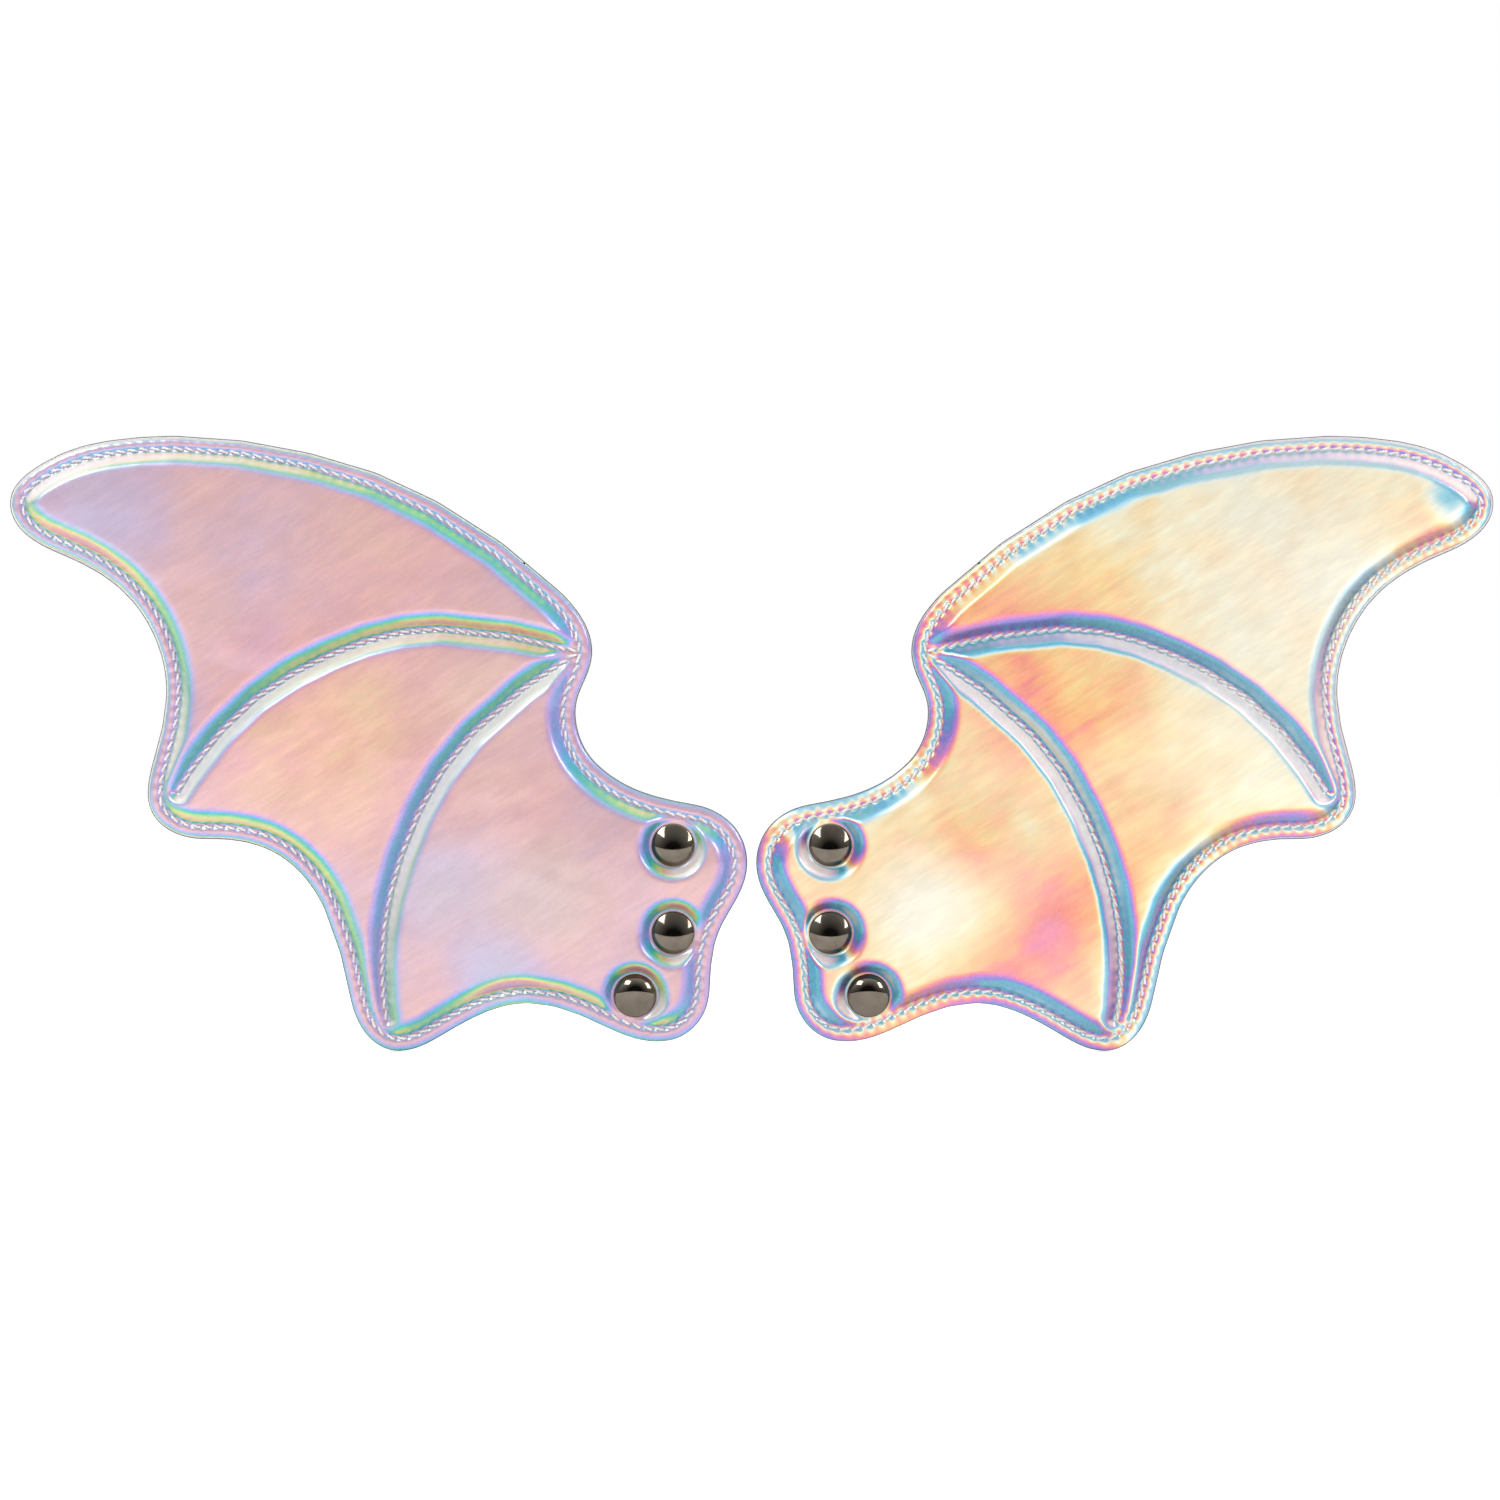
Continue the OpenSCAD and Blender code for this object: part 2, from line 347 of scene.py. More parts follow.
# ----------------------------------------------------------------------------------------------------
# The height of each skin above the plan
# ----------------------------------------------------------------------------------------------------


def climb(distance, width):
    """0 up to the level strip of a seam and 1 from width onwards, with a rounded foot and a long shoulder."""
    share = np.clip((distance - SEAM_HALF) / (width - SEAM_HALF), 0, 1)
    places = np.linspace(0, 1, 200)
    steepness = smooth(places, -0.06, 0.14) * (1 - smooth(places, 0.2, 1.0))
    risen = np.cumsum(steepness)
    return np.interp(share, places, (risen - risen[0]) / (risen[-1] - risen[0]))


def smooth(value, low, high):
    """0 up to low, 1 from high onwards, with an S-shaped rise between them."""
    share = np.clip((value - low) / (high - low), 0, 1)
    return share * share * (3 - 2 * share)


def unevenness(places, side, face, size):
    """Soft noise between -1 and 1, with bumps about that size, different on each wing and face."""
    seed = 40 * side + 7 * face
    return np.array([noise.noise(Vector((u / size, v / size, seed))) for u, v in places])


class Survey:
    """What the skins' shape depends on, measured at every point of a plan."""

    def __init__(self, places):
        self.places = places
        self.from_cut = edge.measure(places)[0]
        self.inside, self.round = edge_seam.measure(places)
        self.ribs = [seam.measure(places) for seam in rib_seams.values()]
        self.snaps = [np.linalg.norm(places - place, axis=1) for place in snap_places.values()]

    def cells(self, width, hollow, seat):
        """0 on the seams, in the border and under the caps, 1 in the middle of the cells."""
        product = climb(self.inside, width)
        for away, _ in self.ribs:
            product = product * climb(abs(away), width)
        for radius in self.snaps:
            product = product * climb(radius - seat + SEAM_HALF, hollow)
        return product

    def stitched(self):
        """(how near a needle hole, the wave of the stitches along the nearest seam, distance to that seam)."""
        near_hole = np.zeros(len(self.places))
        wave = np.zeros(len(self.places))
        closest = np.full(len(self.places), 1e9)
        seams = [(edge_seam, self.inside, self.round)]
        seams += [(seam, away, along) for seam, (away, along) in zip(rib_seams.values(), self.ribs)]
        for seam, away, along in seams:
            turn = np.cos(2 * math.pi * along / fitted_pitch(seam))
            near_hole = np.maximum(near_hole, np.exp(-((away / 0.75) ** 2)) * ((1 + turn) / 2) ** 2)
            wave = np.where(abs(away) < closest, turn, wave)
            closest = np.minimum(closest, abs(away))
        return near_hole, wave, closest


def fitted_pitch(seam):
    """The pitch that fits a whole number of stitches into the seam."""
    return seam.length / round(seam.length / PITCH)


def cut_roundness(from_cut):
    """How far a cover's surface falls as it rolls over to its cut edge."""
    return 0.22 * (1 - np.clip(from_cut / 0.5, 0, 1)) ** 2


def front_heights(survey, side):
    """The front cover's face: three puffed cells, hollows for the caps and a swollen border."""
    cells = survey.cells(SHOULDER, HOLLOW, SEAT)
    near_hole, wave, closest = survey.stitched()
    border_share = np.clip(-survey.inside / (SEAM_INSET - FRONT_TRIM), 0, 1)
    border = BORDER_PUFF * np.sin(math.pi * border_share**0.8)
    crown = CROWN * (1 - np.exp(-np.maximum(survey.inside, 0) / 16))
    rumple = 0.32 * unevenness(survey.places, side, 1, 24) + 0.07 * unevenness(survey.places, side, 2, 8)
    pleats = 0.045 * wave * np.exp(-(((closest - 1.5) / 1.1) ** 2))
    height = SEAM_TOP + cells * (PUFF + crown + rumple) + border - pleats - 0.28 * near_hole
    rim = Path(front_loop, True).measure(survey.places)[0]
    return height - cut_roundness(rim)


def padding_heights(survey, side):
    """The top of the padding, under the front cover."""
    return MIDDLE + WEB + survey.cells(SHOULDER + 1, HOLLOW + 1, SEAT) * (PUFF - 0.1)


def back_heights(survey, side):
    """The back cover's face, drawn flat over the board."""
    near_hole, wave, closest = survey.stitched()
    over_board = smooth(survey.inside, -0.2, 1.6)
    cells = survey.cells(11, 5, 5.9)
    rumple = 0.12 * unevenness(survey.places, side, 3, 22)
    height = SEAM_BACK + (BOARD_BACK - SEAM_BACK) * over_board - cells * (BACK_PUFF + rumple)
    pleats = 0.07 * wave * np.exp(-(((closest - 1.5) / 1.1) ** 2))
    return height + pleats + 0.3 * near_hole + cut_roundness(survey.from_cut)


def board_heights(survey, side):
    """The inner face of the back cover: a shallow tray that holds the board."""
    return MIDDLE - BOARD * smooth(survey.inside, 0.2, 1.2)


# ----------------------------------------------------------------------------------------------------
# Making pieces
# ----------------------------------------------------------------------------------------------------


def new_piece(name, side, points, faces, materials, face_materials=None):
    """A smooth-shaded piece from points (u, v, h) in millimetres, creased where two of its materials meet."""
    u, v, h = np.array(points).T
    mesh = bpy.data.meshes.new(name)
    mesh.from_pydata(list(zip(side * u * MM, -h * MM, v * MM)), [], faces)
    for material in materials:
        mesh.materials.append(material)
    if face_materials is not None:
        mesh.polygons.foreach_set("material_index", face_materials)
    shape = bmesh.new()
    shape.from_mesh(mesh)
    bmesh.ops.recalc_face_normals(shape, faces=shape.faces)
    for face in shape.faces:
        face.smooth = True
    for joint in shape.edges:
        if len({face.material_index for face in joint.link_faces}) > 1:
            joint.smooth = False
    shape.to_mesh(mesh)
    shape.free()
    piece = bpy.data.objects.new(name, mesh)
    bpy.context.scene.collection.objects.link(piece)
    return piece


def rim_edges(triangles):
    """The directed edges that belong to one triangle only."""
    edges = set()
    for a, b, c in triangles:
        for pair in ((a, b), (b, c), (c, a)):
            if pair[::-1] in edges:
                edges.remove(pair[::-1])
            else:
                edges.add(pair)
    return edges


def closed_sheet(name, side, upper, lower, upper_heights, lower_heights, materials):
    """Two skins over the same outline, joined by the cut edge. The first material is the visible skin's."""
    (upper_places, upper_faces), (lower_places, lower_faces) = upper, lower
    points = np.vstack(
        [
            np.column_stack([upper_places, upper_heights]),
            np.column_stack([lower_places, lower_heights]),
        ]
    )
    start = len(upper_places)
    below = {(round(u, 3), round(v, 3)): start + i for i, (u, v) in enumerate(lower_places)}
    faces = [tuple(face) for face in upper_faces]
    faces += [tuple(start + i for i in reversed(face)) for face in lower_faces]
    rim = []
    for a, b in rim_edges(upper_faces):
        under_a, under_b = (below[round(upper_places[i][0], 3), round(upper_places[i][1], 3)] for i in (a, b))
        rim.append((a, under_a, under_b, b))
    kinds = [0] * len(upper_faces) + [1] * (len(lower_faces) + len(rim))
    return new_piece(name, side, points, faces + rim, materials, kinds)


def tube_faces(rings, sides):
    """The faces between rings of points that follow one another."""
    faces = []
    for ring in range(rings - 1):
        for corner in range(sides):
            a = ring * sides + corner
            b = ring * sides + (corner + 1) % sides
            faces.append((a, b, b + sides, a + sides))
    return faces


def thread_stroke(middle, ahead, half, slant, base, outwards, turn):
    """(points, faces) of one stitch: two-ply thread that leaves one needle hole and dives into the next."""
    rings, sides = 11, 8
    across = np.array([-ahead[1], ahead[0]])
    points = []
    for ring in range(rings):
        share = 2 * ring / (rings - 1) - 1
        place = middle + ahead * (half * share) + across * (slant * share)
        height = STITCH_RISE * (1 - share**4) - STITCH_SINK
        steep = -4 * STITCH_RISE * share**3 / half
        rise = np.array([-steep, 1]) / math.hypot(steep, 1)
        for corner in range(sides):
            angle = 2 * math.pi * corner / sides
            radius = THREAD * (0.84 + 0.2 * math.cos(2 * (angle - turn - 4.2 * share)))
            sideways, upwards = radius * math.cos(angle), radius * math.sin(angle)
            spot = place + across * sideways + ahead * (rise[0] * upwards)
            points.append((spot[0], spot[1], base + outwards * (height + rise[1] * upwards)))
    faces = tube_faces(rings, sides)
    faces.append(tuple(range(sides))[::-1])
    faces.append(tuple(range((rings - 1) * sides, rings * sides)))
    return points, faces


def stitching(name, side, seam, front_base, back_base, material):
    """Every stitch of a seam, on the front and on the back, as one piece."""
    jitter = np.random.default_rng(len(name))
    pitch = fitted_pitch(seam)
    points, faces = [], []
    for index in range(round(seam.length / pitch)):
        middle, ahead = seam.at((index + 0.5) * pitch)
        for base, outwards in ((front_base, 1), (back_base, -1)):
            slant = outwards * (STITCH_SLANT + jitter.uniform(-0.07, 0.07))
            half = STITCH_LENGTH / 2 + jitter.uniform(-0.06, 0.06)
            stroke = thread_stroke(middle, ahead, half, slant, base, outwards, jitter.uniform(0, 0.6))
            start = len(points)
            points += stroke[0]
            faces += [tuple(start + i for i in face) for face in stroke[1]]
    return new_piece(name, side, points, faces, [material])


def turned(name, side, place, profile, material, nod=0.0):
    """A part turned on a lathe, from (radius, height) pairs. nod is how much the middle of its face slopes."""
    sides = 96
    rim = max(radius for radius, _ in profile)
    points = []
    for radius, height in profile:
        for corner in range(sides):
            angle = 2 * math.pi * corner / sides
            across, up = radius * math.cos(angle), radius * math.sin(angle)
            slope = nod * up * (1 - (radius / rim) ** 2) if height > SEAM_TOP else 0
            points.append((place[0] + across, place[1] + up, height + slope))
    piece = new_piece(name, side, points, tube_faces(len(profile), sides), [material])
    shape = bmesh.new()
    shape.from_mesh(piece.data)
    bmesh.ops.remove_doubles(shape, verts=shape.verts, dist=1e-6)
    bmesh.ops.recalc_face_normals(shape, faces=shape.faces)
    shape.to_mesh(piece.data)
    shape.free()
    piece.data.set_sharp_from_angle(angle=math.radians(38))
    return piece


# ----------------------------------------------------------------------------------------------------
# Materials
# ----------------------------------------------------------------------------------------------------


def linear(red, green, blue):
    """A colour seen on screen, 0 to 255, as Blender's linear colour."""
    shares = (shade / 255 for shade in (red, green, blue))
    return tuple(((share + 0.055) / 1.055) ** 2.4 if share > 0.04 else share / 12.92 for share in shares) + (1,)


def add_node(tree, kind, inputs, settings):
    """A new shader node, its inputs linked or set, and its settings made."""
    made = tree.nodes.new("ShaderNode" + kind)
    for setting, value in settings.items():
        setattr(made, setting, value)
    for socket, value in (inputs or {}).items():
        if isinstance(value, bpy.types.NodeSocket):
            tree.links.new(value, made.inputs[socket])
        else:
            made.inputs[socket].default_value = value
    return made


class Look:
    """A node material with one Principled shader, and short calls to add nodes to it."""

    def __init__(self, name, **constants):
        self.material = bpy.data.materials.new(name)
        self.material.use_nodes = True
        self.tree = self.material.node_tree
        self.shader = self.tree.nodes["Principled BSDF"]
        for socket, value in constants.items():
            self.shader.inputs[socket.replace("_", " ")].default_value = value
        self.coords = self.tree.nodes.new("ShaderNodeTexCoord")

    def node(self, kind, inputs=None, **settings):
        return add_node(self.tree, kind, inputs, settings)

    def sum(self, operation, *values):
        """What a maths operation makes of the values."""
        return self.node("Math", dict(enumerate(values)), operation=operation).outputs[0]

    def spread(self, value, from_low, from_high, to_low, to_high):
        """The value carried from one range to another, and held to it."""
        numbers = {1: from_low, 2: from_high, 3: to_low, 4: to_high}
        return self.node("MapRange", {0: value, **numbers}).outputs[0]

    def grain(self, size, detail=2.0, stretch=(1, 1, 1), lean=(0, 0, 0)):
        """Noise between 0 and 1 whose bumps are about that size, in metres, leaning and drawn out as given."""
        scale = tuple(size * s for s in stretch)
        inputs = {0: self.coords.outputs["Object"], 2: lean, 3: scale}
        spot = self.node("Mapping", inputs, vector_type="TEXTURE")
        return self.node("TexNoise", {"Vector": spot.outputs[0], "Scale": 1.0, "Detail": detail}).outputs[0]

    def ramp(self, value, stops):
        """The colour at that value, between stops of (position, colour)."""
        made = self.node("ValToRGB", {0: value})
        elements = made.color_ramp.elements
        while len(elements) < len(stops):
            elements.new(0.5)
        for element, (position, colour) in zip(elements, stops):
            element.position = position
            element.color = colour
        return made.outputs[0]

    def blend(self, share, first, second, mode="MIX"):
        """The first colour with that share of the second mixed in."""
        made = self.node("Mix", {0: share, 6: first, 7: second}, data_type="RGBA", blend_type=mode)
        return made.outputs[2]

    def set(self, socket, value):
        """Drives a socket of the shader."""
        self.tree.links.new(value, self.shader.inputs[socket])

    def bump(self, *layers):
        """Bumps of (height noise, depth in metres), one on top of another."""
        normal = None
        for height, depth in layers:
            inputs = {"Height": height, "Distance": depth, "Strength": 1.0}
            if normal:
                inputs["Normal"] = normal
            normal = self.node("Bump", inputs).outputs[0]
        self.set("Normal", normal)


# The colours that each wing's film runs through as it tilts, once round
RAINBOWS = {
    "left": (
        (0.00, (236, 164, 164)),
        (0.07, (244, 188, 158)),
        (0.14, (246, 216, 158)),
        (0.20, (232, 232, 136)),
        (0.31, (128, 222, 142)),
        (0.44, (44, 196, 180)),
        (0.55, (74, 188, 226)),
        (0.65, (124, 172, 238)),
        (0.75, (172, 160, 230)),
        (0.85, (196, 154, 210)),
        (0.93, (222, 160, 186)),
        (1.00, (236, 164, 164)),
    ),
    "right": (
        (0.00, (250, 140, 130)),
        (0.05, (255, 178, 120)),
        (0.11, (255, 216, 140)),
        (0.17, (255, 246, 205)),
        (0.24, (235, 248, 240)),
        (0.32, (140, 215, 235)),
        (0.42, (70, 175, 220)),
        (0.52, (60, 188, 192)),
        (0.60, (85, 165, 215)),
        (0.70, (125, 125, 215)),
        (0.82, (175, 125, 210)),
        (0.92, (225, 120, 185)),
        (1.00, (250, 140, 130)),
    ),
}
STREAK_LEAN = (0, -0.55, 0)  # the grain of the film rises to the right on both wings


def film(name, side, rainbow, phase, turns, paleness, pearl, shade, painted_reflections):
    """Faux leather with a pearl film whose iridescence is painted: its colour runs round the rainbow as the
    surface tilts.

    phase is the colour where it lies flat, as a share of the rainbow. turns says how far round it goes with the
    tilt in any direction, with the tilt upwards, with the tilt away from the root, and with the square of the
    tilt upwards. shade is how dark the painted shade gets where it faces down and away from the root.
    painted_reflections are soft patches of painted reflection, put where the wing's reflections differ: (x, z,
    radius) in millimetres, turn and extra paleness.
    """
    look = Look(name, Metallic=0.25, Coat_Weight=1.0, Coat_Roughness=0.07, Coat_IOR=1.5, Specular_IOR_Level=0.6)
    normal = look.node("SeparateXYZ", {0: look.coords.outputs["Normal"]})
    up = normal.outputs[2]
    out = look.sum("MULTIPLY", normal.outputs[0], side)
    up_square = look.sum("MULTIPLY", up, up)
    tilt = look.sum("SQRT", look.sum("MULTIPLY_ADD", out, out, up_square))
    # How far the surface faces up and away from the root, where the painted highlight goes; facing the other
    # way, the painted shade
    towards_light = look.sum("MULTIPLY_ADD", up, 0.75, look.sum("MULTIPLY", out, 0.65))
    clouds = look.spread(look.grain(0.030, 3), 0.25, 0.75, -0.06, 0.06)
    streaks = look.spread(look.grain(0.0022, 3, (7, 1, 1), STREAK_LEAN), 0.2, 0.8, -0.03, 0.03)
    angle = look.sum("ADD", look.sum("ADD", clouds, streaks), phase)
    vividness = look.sum("MULTIPLY_ADD", tilt, 0.7, 1 - paleness)
    # Painted highlight: the film is paler where it faces the light
    vividness = look.sum("MULTIPLY_ADD", towards_light, -0.6, vividness)
    for measure, turn in zip((tilt, up, out, up_square), turns):
        angle = look.sum("MULTIPLY_ADD", measure, turn, angle)
    # Soft patches of painted reflection, each turning the colour round the rainbow and changing its paleness
    for x, z, radius, turn, pale in painted_reflections:
        centred = {0: look.coords.outputs["Object"], 1: (-x * MM, 0, -z * MM)}
        place = look.node("Mapping", centred).outputs[0]
        away = look.node("VectorMath", {0: place}, operation="LENGTH").outputs["Value"]
        fade = {0: away, 1: radius * MM, 2: 0.0, 3: 0.0, 4: 1.0}
        inside = look.node("MapRange", fade, interpolation_type="SMOOTHSTEP").outputs[0]
        angle = look.sum("MULTIPLY_ADD", inside, turn, angle)
        vividness = look.sum("MULTIPLY_ADD", inside, -pale, vividness)

    # Painted reflection: the film's rainbow colour is set by the surface's tilt, not made by the lamps
    hue = look.ramp(look.sum("FRACT", angle), [(spot, linear(*rgb)) for spot, rgb in rainbow])
    colour = look.blend(look.spread(vividness, 0, 1, 0, 1), pearl, hue)

    # Painted light and shade on the slopes: greyer all round, a painted highlight where they face the light,
    # painted shade where they face away from it
    colour = look.blend(look.spread(tilt, 0.15, 0.7, 0, 0.25), colour, linear(150, 152, 160), "MULTIPLY")
    colour = look.blend(look.spread(towards_light, 0.38, 0.66, 0, 0.9), colour, linear(255, 244, 241))
    colour = look.blend(look.spread(towards_light, -0.45, -0.75, 0, 0.3), colour, linear(104, 110, 120))
    # Painted shade, dark violet, where the surface faces down and away from the root
    in_shade = look.sum("MULTIPLY_ADD", up, -0.6, look.sum("MULTIPLY", out, 0.6))
    colour = look.blend(look.spread(in_shade, 0.38, 0.66, 0, shade), colour, linear(62, 46, 66))

    # Fine grain and brushed streaks
    colour = look.blend(look.spread(look.grain(0.0007), 0.35, 0.65, 0.0, 0.06), colour, linear(255, 255, 255))
    broad = look.grain(0.0045, 4, (4, 1, 1), STREAK_LEAN)
    fine = look.grain(0.0011, 2, (5, 1, 1), STREAK_LEAN)
    brushed = look.sum("ADD", broad, fine)
    colour = look.blend(look.spread(brushed, 0.8, 1.25, 0.16, 0.0), colour, linear(170, 165, 172), "MULTIPLY")

    look.set("Base Color", colour)
    look.set("Roughness", look.spread(look.grain(0.006, 2), 0.2, 0.8, 0.29, 0.35))
    look.bump((look.grain(0.0009, 3), 0.000006), (look.grain(0.0016, 2, (8, 1, 1), STREAK_LEAN), 0.000010))
    return look.material


def cut_edge(name):
    """The raw cut edge and the lining: pale grey cloth backing under the film."""
    look = Look(name, Roughness=0.75)
    fibres = look.grain(0.0006, 4)
    look.set("Base Color", look.ramp(fibres, ((0.3, linear(84, 84, 90)), (0.7, linear(128, 128, 136)))))
    look.bump((fibres, 0.0001))
    return look.material


def foam(name):
    """White open foam, with pores."""
    look = Look(name, Roughness=0.9)
    pores = look.node("TexVoronoi", {"Vector": look.coords.outputs["Object"], "Scale": 2200.0}).outputs[0]
    look.set("Base Color", look.ramp(pores, ((0.0, linear(222, 222, 222)), (0.5, linear(247, 246, 244)))))
    look.bump((pores, 0.0001))
    return look.material


def thread(name):
    """Silver-grey polyester sewing thread, twisted from two plies."""
    look = Look(name, Roughness=0.34, Metallic=0.1, Sheen_Weight=0.3, Sheen_Roughness=0.4)
    shade = look.grain(0.0011, 3)
    look.set("Base Color", look.ramp(shade, ((0.3, linear(206, 206, 210)), (0.7, linear(246, 245, 244)))))
    look.bump((look.grain(0.00012, 2), 0.00004))
    return look.material


def metal(name, dark, light, roughness):
    """Polished plated metal, with faint turning marks and fingerprints."""
    look = Look(name, Metallic=1.0)
    smudge = look.grain(0.004, 4)
    look.set("Base Color", look.ramp(smudge, ((0.35, linear(*dark)), (0.65, linear(*light)))))
    look.set("Roughness", look.spread(look.grain(0.0016, 4), 0.3, 0.7, roughness * 0.8, roughness * 1.5))
    look.bump((look.grain(0.0006, 2), 0.000004))
    return look.material


def board(name):
    """Grey-white plastic board with a calendered face."""
    look = Look(name, Roughness=0.55)
    cloud = look.grain(0.006, 4)
    look.set("Base Color", look.ramp(cloud, ((0.3, linear(206, 207, 210)), (0.7, linear(224, 224, 224)))))
    look.bump((look.grain(0.0005, 2), 0.00003))
    return look.material


films = {
    "left": film(
        name="pearl_film_left",
        side=-1,
        rainbow=RAINBOWS["left"],
        phase=0.995,
        turns=(-0.65, 0.0, -0.25, -0.7),
        paleness=0.52,
        pearl=linear(216, 198, 196),
        shade=0.12,
        painted_reflections=(
            (-188, 66, 36, -0.20, 0.1),
            (-150, 48, 34, -0.05, 0.0),
            (-142, 30, 14, -0.03, -0.15),
            (-100, 52, 36, 0.03, -0.15),
            (-122, 2, 54, 0.09, -0.4),
            (-88, -42, 26, -0.22, 0.25),
            (-60, -44, 26, -0.03, 0.35),
            (-74, -66, 20, -0.3, 0.2),
            (-64, -18, 20, 0.04, -0.1),
        ),
    ),
    "right": film(
        name="pearl_film_right",
        side=1,
        rainbow=RAINBOWS["right"],
        phase=0.115,
        turns=(0.15, 0.75, 0.95, 0.0),
        paleness=0.36,
        pearl=linear(250, 243, 224),
        shade=0.78,
        painted_reflections=(
            (160, 48, 60, 0.04, 0.45),
            (201, 70, 11, 0.3, -0.5),
            (66, 36, 34, -0.05, -0.3),
            (100, 48, 28, -0.02, -0.2),
            (92, 10, 38, -0.10, -0.35),
            (140, 2, 34, 0.04, 0.25),
            (112, -34, 30, -0.05, -0.3),
            (50, -46, 24, 0.05, 0.65),
            (63, -27, 20, -0.08, -0.25),
            (92, -50, 30, -0.12, -0.35),
            (72, -66, 22, -0.05, -0.25),
        ),
    ),
}
edge_look = cut_edge("cut_edge")
foam_look = foam("foam")
thread_look = thread("thread")
cap_look = metal("polished_cap", (108, 100, 90), (122, 114, 103), 0.07)
socket_look = metal("nickel_socket", (168, 166, 162), (196, 194, 190), 0.2)
spring_look = metal("phosphor_bronze", (176, 132, 84), (200, 156, 104), 0.25)
board_look = board("board")


# ----------------------------------------------------------------------------------------------------
# The pieces of both wings
# ----------------------------------------------------------------------------------------------------


def cap_profile(snap):
    """The cap, a shallow dome with a rolled rim, and the barrel under it, flared at the back."""
    node = f"right_snap_cap_{snap}"
    low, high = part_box(node)
    radius = (high.x - low.x) / 2 / MM
    top, flare = level(node, 0), level(node, 1)
    flank = radius - 0.5
    profile = []
    for step in range(15):
        out = flank * step / 14
        profile.append((out, top - DOME_RADIUS + math.sqrt(DOME_RADIUS**2 - out**2)))
    shoulder = profile[-1][1]
    profile += [(flank + 0.2, shoulder - 0.14), (flank + 0.37, shoulder - 0.32), (radius, SEAM_TOP + 0.3)]
    profile += [(radius - 0.06, SEAM_TOP + 0.12), (radius - 0.3, SEAM_TOP)]
    profile += [(BARREL, SEAM_TOP), (BARREL, flare + 0.45), (FLARE - 0.4, flare + 0.22), (FLARE, flare + 0.12)]
    profile += [(FLARE, flare), (FLARE - 0.6, flare + 0.04), (BARREL_BORE, flare + 0.4)]
    profile += [(BARREL_BORE, SEAM_TOP - 0.6), (0, SEAM_TOP - 0.6)]
    return profile


def socket_profile(snap):
    """The socket, a flange with a raised cup, and the groove for its spring round the mouth."""
    socket, spring = f"right_snap_socket_{snap}", f"right_snap_spring_{snap}"
    low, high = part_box(socket)
    radius = (high.x - low.x) / 2 / MM
    low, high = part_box(spring)
    groove = (high.x - low.x) / 2 / MM + 0.06
    near, far = level(spring, 0) + 0.08, level(spring, 1) - 0.08
    seat, lip = level(socket, 0), level(socket, 1)
    hole = BARREL + 0.05
    profile = [(hole, seat), (radius, seat), (radius, seat - 0.5), (radius - 0.15, seat - 0.68)]
    profile += [(radius - 0.7, seat - 0.78), (radius - 1.0, seat - 1.1), (radius - 1.1, lip + 0.6)]
    profile += [(radius - 1.25, lip + 0.25), (radius - 1.55, lip + 0.06), (radius - 1.85, lip)]
    profile += [(MOUTH + 0.3, lip + 0.03), (MOUTH + 0.08, lip + 0.16), (MOUTH, lip + 0.4)]
    profile += [(MOUTH, far), (groove, far), (groove, near), (MOUTH, near)]
    profile += [(MOUTH, seat - 0.75), (MOUTH - 0.25, seat - 0.5), (hole, seat - 0.5), (hole, seat)]
    return profile


surveys = {face: tuple(Survey(places) for places, _ in both) for face, both in plans.items()}


def add(piece, body, node):
    """Puts a finished piece on its body, in the place of its CAD node."""
    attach(piece, body)
    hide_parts(node)


for wing, side in SIDES.items():
    body = f"{wing}_wing"

    outer, inner = surveys["front"]
    lining = padding_heights(inner, side) + 0.05
    front = closed_sheet(
        f"{wing}_padded_front",
        side,
        *plans["front"],
        front_heights(outer, side),
        lining,
        [films[wing], edge_look],
    )
    add(front, body, f"{wing}_front_cover")

    outer, inner = surveys["back"]
    back = closed_sheet(
        f"{wing}_lined_back",
        side,
        *plans["back"],
        back_heights(outer, side),
        board_heights(inner, side),
        [films[wing], edge_look],
    )
    add(back, body, f"{wing}_back_cover")

    top, bottom = surveys["foam"]
    floor_of_pad = np.full(len(bottom.places), MIDDLE + 0.02)
    top_of_pad = padding_heights(top, side) - 0.05
    foam_looks = [foam_look, foam_look]
    pad = closed_sheet(f"{wing}_padding", side, *plans["foam"], top_of_pad, floor_of_pad, foam_looks)
    add(pad, body, f"{wing}_foam_pad")

    thread_piece = stitching(f"{wing}_edge_stitches", side, edge_seam, SEAM_TOP, SEAM_BACK, thread_look)
    add(thread_piece, body, f"{wing}_edge_stitching")
    for rib, seam in rib_seams.items():
        name = f"{wing}_{rib}_rib_stitches"
        thread_piece = stitching(name, side, seam, SEAM_TOP, BOARD_BACK, thread_look)
        add(thread_piece, body, f"{wing}_{rib}_rib_stitching")

    for snap, place in snap_places.items():
        cap = turned(f"{wing}_{snap}_cap", side, place, cap_profile(snap), cap_look, CAP_NODS[snap])
        add(cap, body, f"{wing}_snap_cap_{snap}")
        socket = turned(f"{wing}_{snap}_socket", side, place, socket_profile(snap), socket_look)
        add(socket, body, f"{wing}_snap_socket_{snap}")

# The springs and the stiffeners are the CAD's own
kept_looks = {"snap_spring": spring_look, "stiffener": board_look}
for name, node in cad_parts.items():
    for kind, look in kept_looks.items():
        if kind in name:
            for material_slot in node.material_slots:
                material_slot.material = look


# ----------------------------------------------------------------------------------------------------
# Floor, light and camera
# ----------------------------------------------------------------------------------------------------


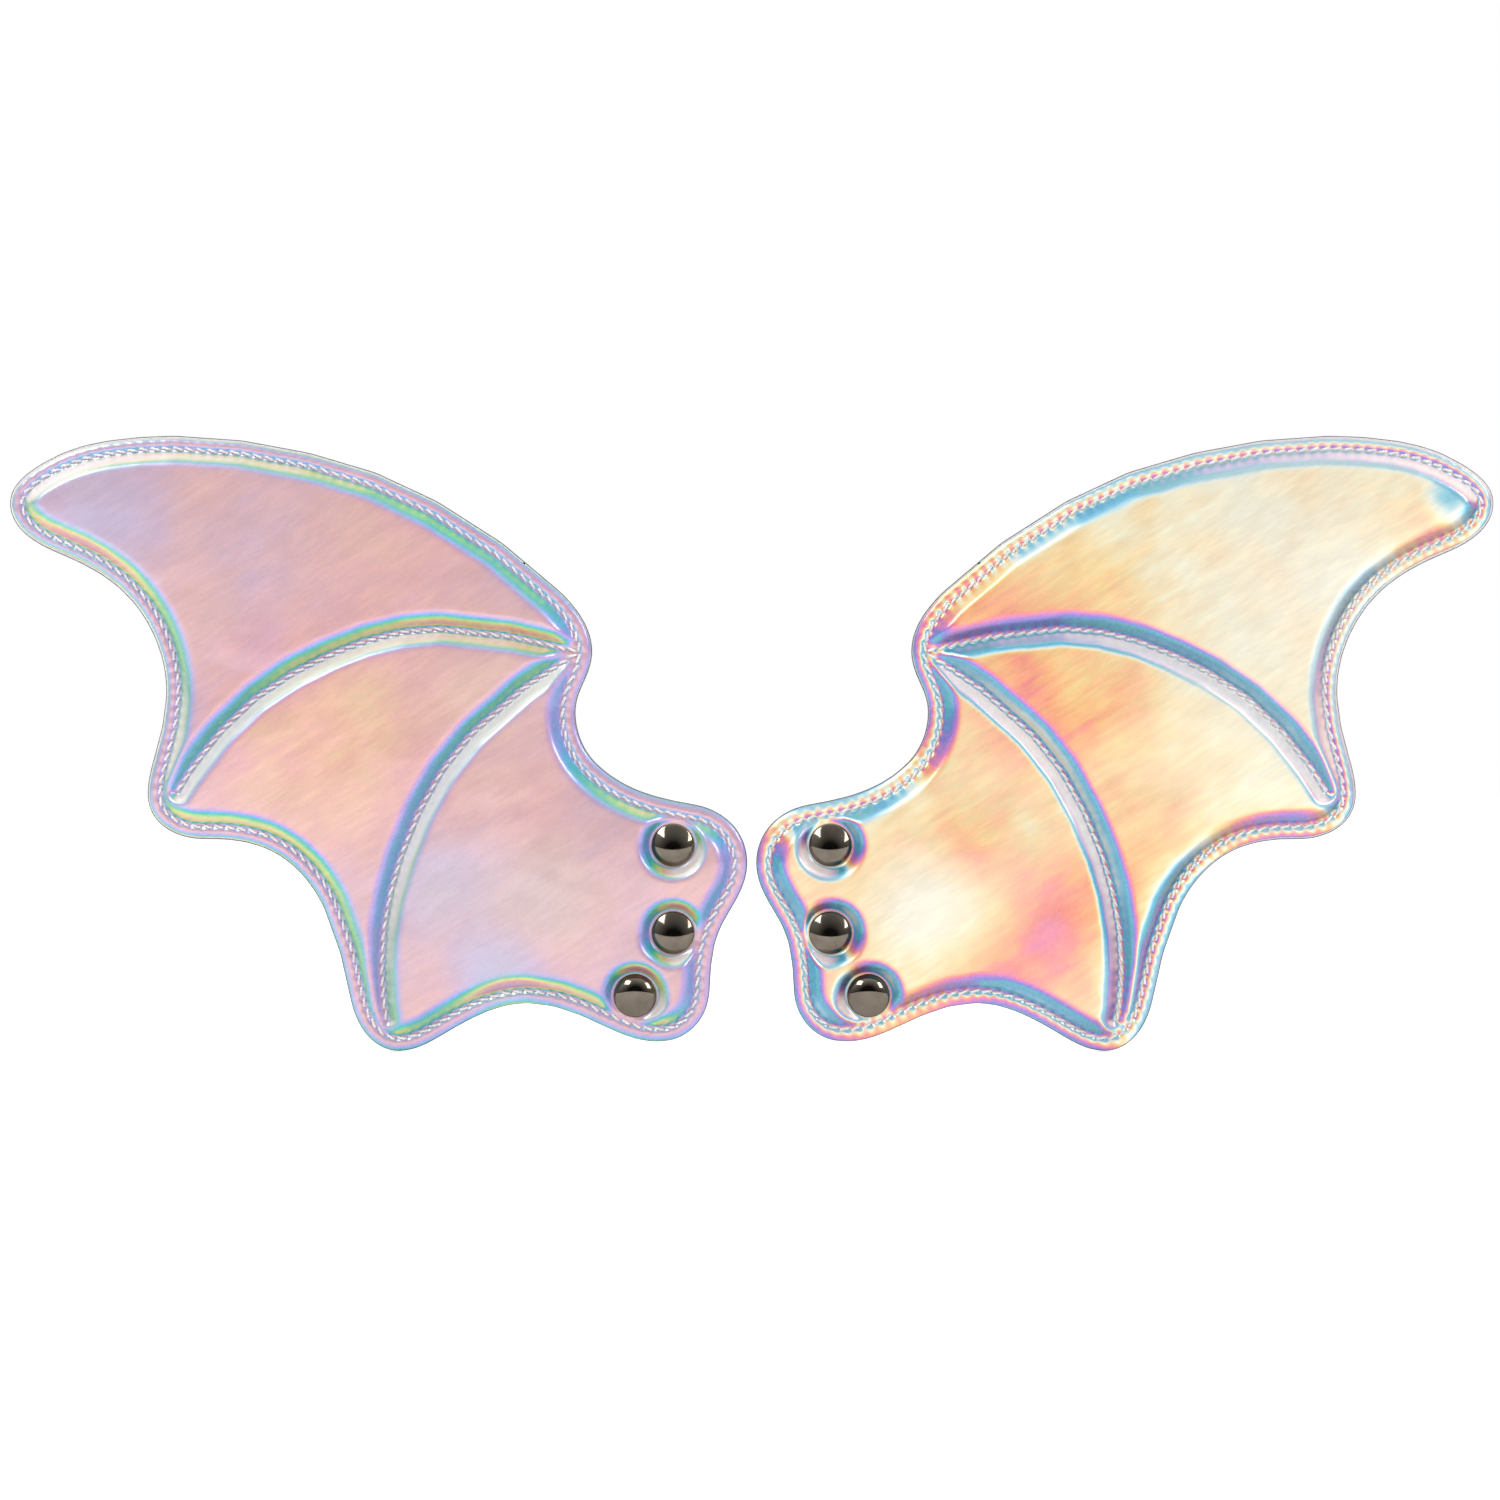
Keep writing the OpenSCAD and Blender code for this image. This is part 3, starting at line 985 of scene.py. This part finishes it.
def floor(z):
    """A wide pale floor at that height."""
    look = Look("pale_floor", Roughness=0.6, Emission_Color=(1, 1, 1, 1), Emission_Strength=0.3)
    shade = look.grain(0.05, 3)
    look.set("Base Color", look.ramp(shade, ((0.3, linear(243, 243, 243)), (0.7, linear(249, 249, 249)))))
    mesh = bpy.data.meshes.new("floor")
    half = 6.0
    corners = [(-half, -half, z), (half, -half, z), (half, half, z), (-half, half, z)]
    mesh.from_pydata(corners, [], [(0, 1, 2, 3)])
    mesh.materials.append(look.material)
    made = bpy.data.objects.new("floor", mesh)
    bpy.context.scene.collection.objects.link(made)


def softbox(name, place, size, energy):
    """A white rectangular lamp that faces the wings."""
    light = bpy.data.lights.new(name, "AREA")
    light.shape = "RECTANGLE"
    light.size, light.size_y = size
    light.energy = energy
    lamp = bpy.data.objects.new(name, light)
    lamp.location = place
    lamp.rotation_mode = "QUATERNION"
    lamp.rotation_quaternion = (-Vector(place)).to_track_quat("-Z", "Y")
    bpy.context.scene.collection.objects.link(lamp)


def studio():
    """White all round for the camera. The wings reflect it bright above, dim beside, dark behind the camera."""
    world = bpy.data.worlds.new("studio")
    world.use_nodes = True
    tree = world.node_tree
    tree.nodes.clear()

    def node(kind, inputs=None, **settings):
        return add_node(tree, kind, inputs, settings)

    direction = node("SeparateXYZ", {0: node("TexCoord").outputs["Generated"]})
    height = node("MapRange", {0: direction.outputs[2], 1: -0.35, 2: 0.5}, interpolation_type="SMOOTHSTEP")
    dim, bright = (0.22, 0.19, 0.16, 1), (1.9, 1.92, 1.95, 1)
    walls = node("Mix", {0: height.outputs[0], 6: dim, 7: bright}, data_type="RGBA")
    behind = node("MapRange", {0: direction.outputs[1], 1: -0.92, 2: -0.5, 3: 0.03, 4: 1.0})
    sideways = node("Math", {0: direction.outputs[0]}, operation="ABSOLUTE")
    beside = node("MapRange", {0: sideways.outputs[0], 1: 0.55, 2: 0.95, 3: 1.0, 4: 0.55})
    shade = node("Math", {0: behind.outputs[0], 1: beside.outputs[0]}, operation="MULTIPLY")
    shaded = node("VectorMath", {0: walls.outputs[2], 3: shade.outputs[0]}, operation="SCALE")
    around = node("Background", {0: shaded.outputs[0], 1: 0.55})
    seen = node("Background", {0: (1, 1, 1, 1), 1: 1.0})
    from_camera = node("LightPath").outputs["Is Camera Ray"]
    mixed = node("MixShader", {0: from_camera, 1: around.outputs[0], 2: seen.outputs[0]})
    node("OutputWorld", {0: mixed.outputs[0]})
    bpy.context.scene.world = world


low, high = cad_box
floor(low.z)
studio()
softbox("key", (-0.75, -0.95, 0.95), (0.5, 0.5), 7.8)
softbox("side", (1.05, -0.85, 0.65), (0.3, 0.6), 5)
softbox("back", (0.3, 1.2, 0.9), (0.9, 0.6), 3.2)

LENS = 95
VIEW_WIDTH = 0.433
camera = bpy.data.cameras.new("camera")
camera.lens = LENS
view = bpy.data.objects.new("camera", camera)
view.location = (-0.0005, low.y - VIEW_WIDTH * LENS / camera.sensor_width, -0.0019)
view.rotation_euler = (math.pi / 2, 0, 0)
bpy.context.scene.collection.objects.link(view)
bpy.context.scene.camera = view
bpy.context.scene.view_settings.view_transform = "Standard"
